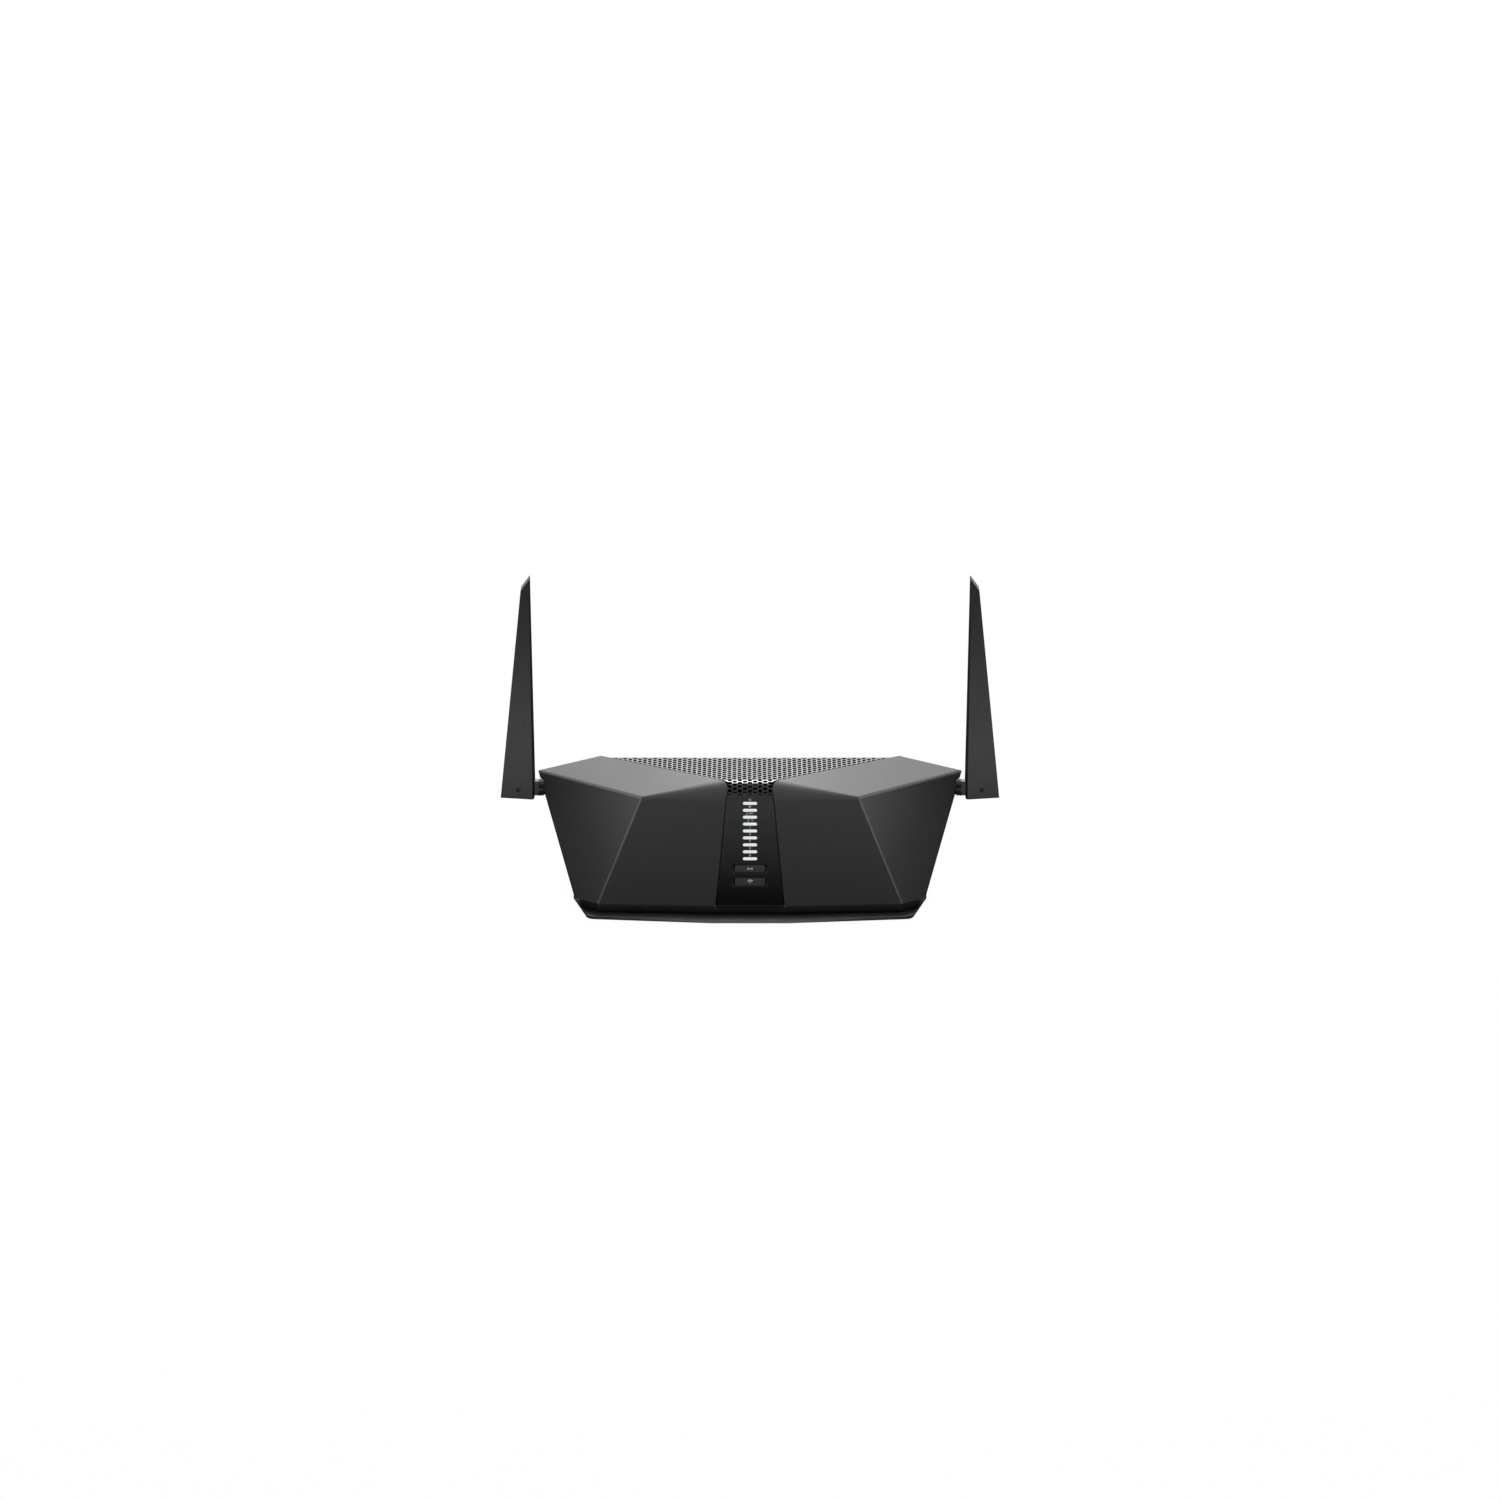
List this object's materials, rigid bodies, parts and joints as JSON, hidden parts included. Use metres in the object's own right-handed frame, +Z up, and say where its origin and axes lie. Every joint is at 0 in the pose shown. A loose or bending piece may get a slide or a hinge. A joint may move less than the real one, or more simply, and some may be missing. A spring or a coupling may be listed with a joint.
{
  "type": "wireless router",
  "caption": "Low faceted wireless mesh node with a honeycomb vent, a sloped gloss indicator panel, press buttons, rear network sockets and folding blade antennas.",
  "frame": {"origin": "on the supporting surface, below the middle of the overall box", "axes": "+X to the right as seen from the front, +Y towards the rear sockets, +Z up"},
  "size_m": [0.2788, 0.116, 0.1683],
  "materials": {
    "tray": "fine moulded texture",
    "band": "knurled diamond texture",
    "cover": "fine satin moulded texture",
    "grille": "satin",
    "panel": "piano gloss",
    "lens": "frosted, lit from behind",
    "circuit_board": "solder mask",
    "led": "moulded package",
    "switch": "stamped tact switch",
    "button": "satin",
    "chip": "moulded epoxy",
    "shield": "tinned sheet",
    "pad": "soft thermal pad",
    "heatsink": "extruded",
    "screw": "zinc plated",
    "ribbon": "film",
    "rear": "fine moulded texture",
    "jack": "moulded",
    "wan": "moulded",
    "shell": "plated sheet",
    "socket": "moulded",
    "switch_body": "moulded",
    "plunger": "moulded",
    "label": "printed film",
    "foot": "soft",
    "lead": "jacket",
    "swivel": "satin",
    "clip": "steel",
    "blade": "fine satin moulded texture"
  },
  "bodies": {
    "body": {"bottom_tray": "tray", "vent_band": "band", "top_cover": "cover", "vent_grille": "grille", "front_panel": "panel", "light_guide": "lens", "panel_board": "circuit_board", "panel_leds": "led", "panel_switches": "switch", "main_board": "circuit_board", "main_chips": "chip", "shield_cans": "shield", "thermal_pads": "pad", "heatsink": "heatsink", "heatsink_screws": "screw", "board_screws": "screw", "panel_ribbon": "ribbon", "rear_plate": "rear", "lan_jack_1": "jack", "lan_jack_2": "jack", "lan_jack_3": "jack", "lan_jack_4": "jack", "wan_jack": "wan", "usb_port": "shell", "power_inlet": "socket", "power_switch": "switch_body", "reset_switch": "switch_body", "rating_plate": "label", "rubber_feet": "foot", "case_screws": "screw", "coax_left": "lead", "coax_right": "lead"},
    "wps_button": {"wps_button": "button"},
    "wifi_button": {"wifi_button": "button"},
    "power_button": {"power_button": "button"},
    "reset_button": {"reset_button": "plunger"},
    "swivel_left": {"swivel_left": "swivel", "swivel_clip_left": "clip"},
    "swivel_right": {"swivel_right": "swivel", "swivel_clip_right": "clip"},
    "blade_left": {"blade_front_left": "blade", "blade_back_left": "blade", "radiator_left": "circuit_board", "hinge_pin_left": "clip"},
    "blade_right": {"blade_front_right": "blade", "blade_back_right": "blade", "radiator_right": "circuit_board", "hinge_pin_right": "clip"}
  },
  "joints": [
    {"name": "antenna_left_swivel", "type": "hinge", "parent": "body", "child": "swivel_left", "pos_m": [-0.11, 0.036, 0.045], "axis": [1, 0, 0], "range_deg": [-90, 90]},
    {"name": "antenna_left_tilt", "type": "hinge", "parent": "swivel_left", "child": "blade_left", "pos_m": [-0.1294, 0.036, 0.045], "axis": [0, -1, 0], "range_deg": [0, 90]},
    {"name": "antenna_right_swivel", "type": "hinge", "parent": "body", "child": "swivel_right", "pos_m": [0.11, 0.036, 0.045], "axis": [1, 0, 0], "range_deg": [-90, 90]},
    {"name": "antenna_right_tilt", "type": "hinge", "parent": "swivel_right", "child": "blade_right", "pos_m": [0.1294, 0.036, 0.045], "axis": [0, 1, 0], "range_deg": [0, 90]},
    {"name": "wps_press", "type": "slide", "parent": "body", "child": "wps_button", "axis": [0, 0.6691, -0.7431], "range_m": [0, 0.0007], "stiffness_N_per_m": 900, "springref_m": -0.0003},
    {"name": "wifi_press", "type": "slide", "parent": "body", "child": "wifi_button", "axis": [0, 0.6691, -0.7431], "range_m": [0, 0.0007], "stiffness_N_per_m": 900, "springref_m": -0.0003},
    {"name": "power_press", "type": "slide", "parent": "body", "child": "power_button", "axis": [0, -1, 0], "range_m": [0, 0.002], "stiffness_N_per_m": 700, "springref_m": -0.0006},
    {"name": "reset_press", "type": "slide", "parent": "body", "child": "reset_button", "axis": [0, -1, 0], "range_m": [0, 0.0006], "stiffness_N_per_m": 900, "springref_m": -0.0003}
  ]
}
